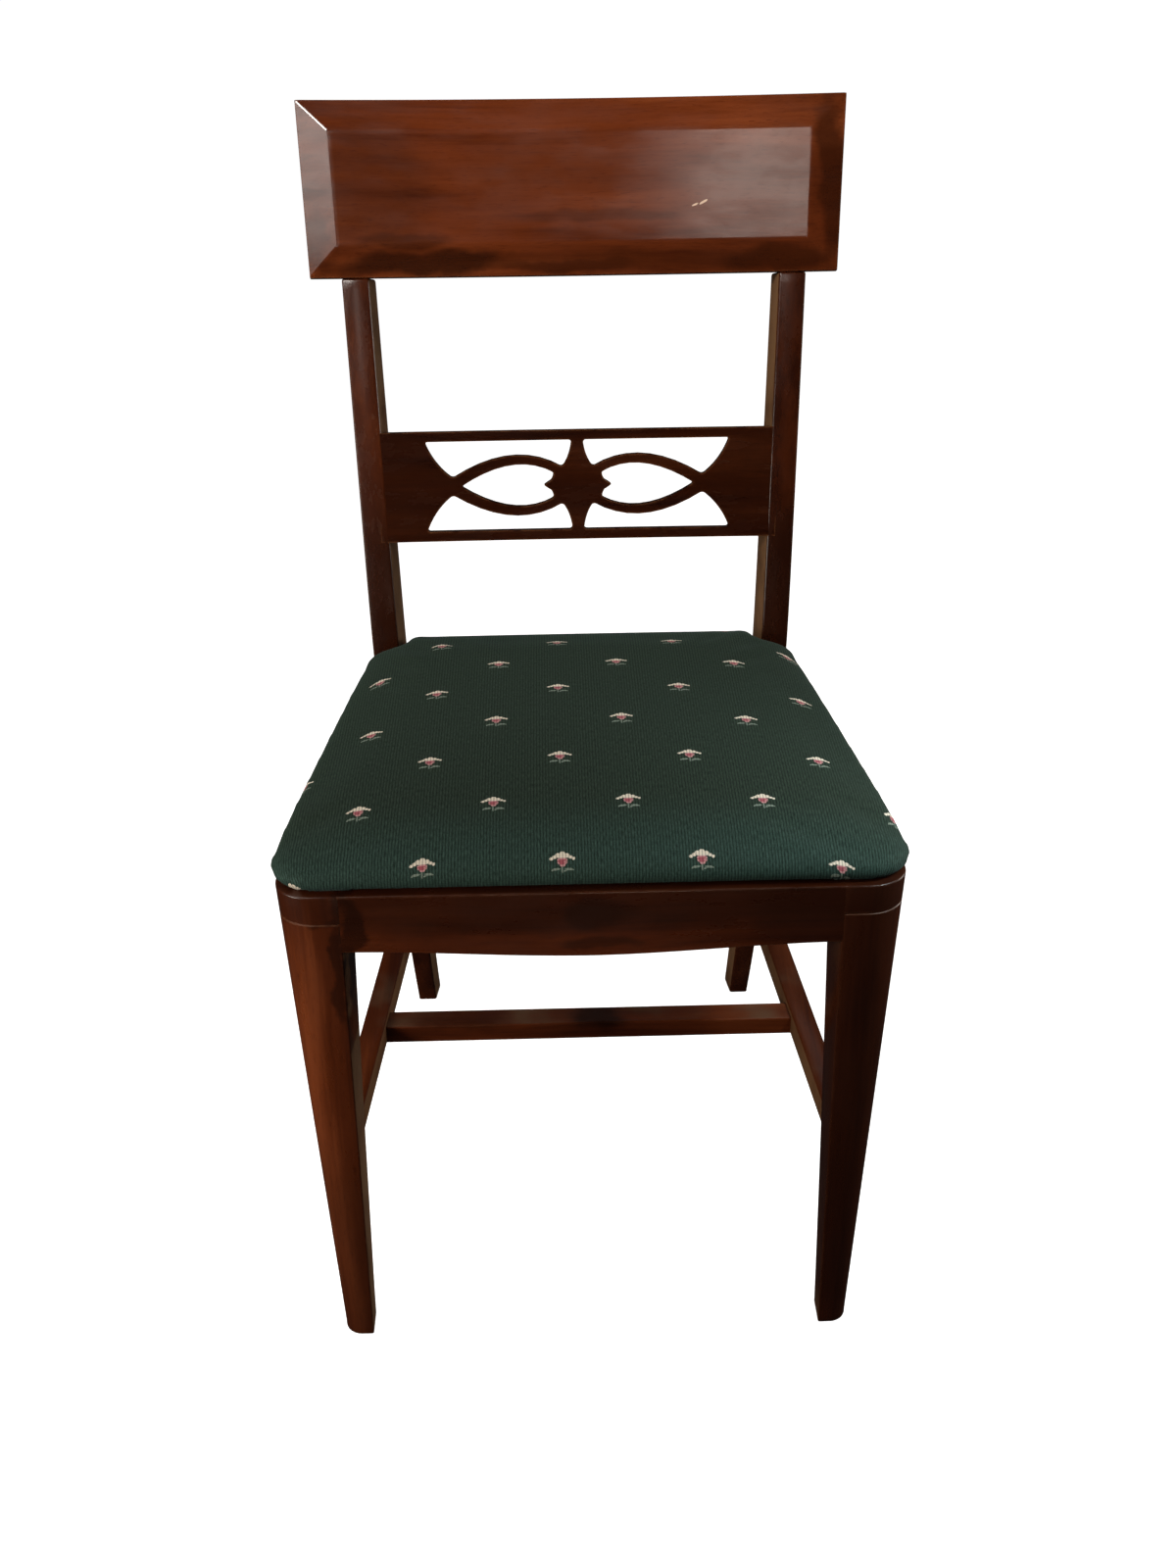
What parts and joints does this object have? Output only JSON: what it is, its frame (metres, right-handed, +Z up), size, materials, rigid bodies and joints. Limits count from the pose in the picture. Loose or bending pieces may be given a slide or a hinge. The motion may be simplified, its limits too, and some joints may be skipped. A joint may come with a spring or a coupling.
{
  "type": "dining chair",
  "caption": "Wooden dining chair with a wide tablet crest, a pierced cross rail of lens rings and a star, tapered legs, H stretcher and padded fabric seat",
  "frame": {"origin": "on the floor, at the middle of the chair's box in plan", "axes": "+Z up, -Y the way the chair faces, +X to the right of someone looking at its front"},
  "size_m": [0.4706, 0.5198, 0.913],
  "materials": {
    "mahogany": "stained mahogany under a worn satin lacquer",
    "block_wood": "raw sawn hardwood",
    "plywood": "raw plywood",
    "foam": "open upholstery foam",
    "fabric": "ribbed woven upholstery with small flower sprigs",
    "screw_steel": "dull plated steel"
  },
  "bodies": {
    "root": {"front_leg_right": "mahogany", "front_leg_left": "mahogany", "rear_leg_right": "mahogany", "rear_leg_left": "mahogany", "crest_rail": "mahogany", "cross_rail": "mahogany", "front_seat_rail": "mahogany", "rear_seat_rail": "mahogany", "side_seat_rail_right": "mahogany", "side_seat_rail_left": "mahogany", "side_stretcher_right": "mahogany", "side_stretcher_left": "mahogany", "medial_stretcher": "mahogany", "corner_block_front_right": "block_wood", "corner_block_front_left": "block_wood", "block_screw_cross_front_right": "screw_steel", "block_screw_cross_front_left": "screw_steel", "block_screw_side_front_right": "screw_steel", "block_screw_side_front_left": "screw_steel", "seat_screw_front_right": "screw_steel", "seat_screw_front_left": "screw_steel", "corner_block_rear_right": "block_wood", "corner_block_rear_left": "block_wood", "block_screw_cross_rear_right": "screw_steel", "block_screw_cross_rear_left": "screw_steel", "block_screw_side_rear_right": "screw_steel", "block_screw_side_rear_left": "screw_steel", "seat_screw_rear_right": "screw_steel", "seat_screw_rear_left": "screw_steel", "seat_board": "plywood", "seat_padding": "foam", "seat_cover": "fabric"}
  },
  "joints": []
}
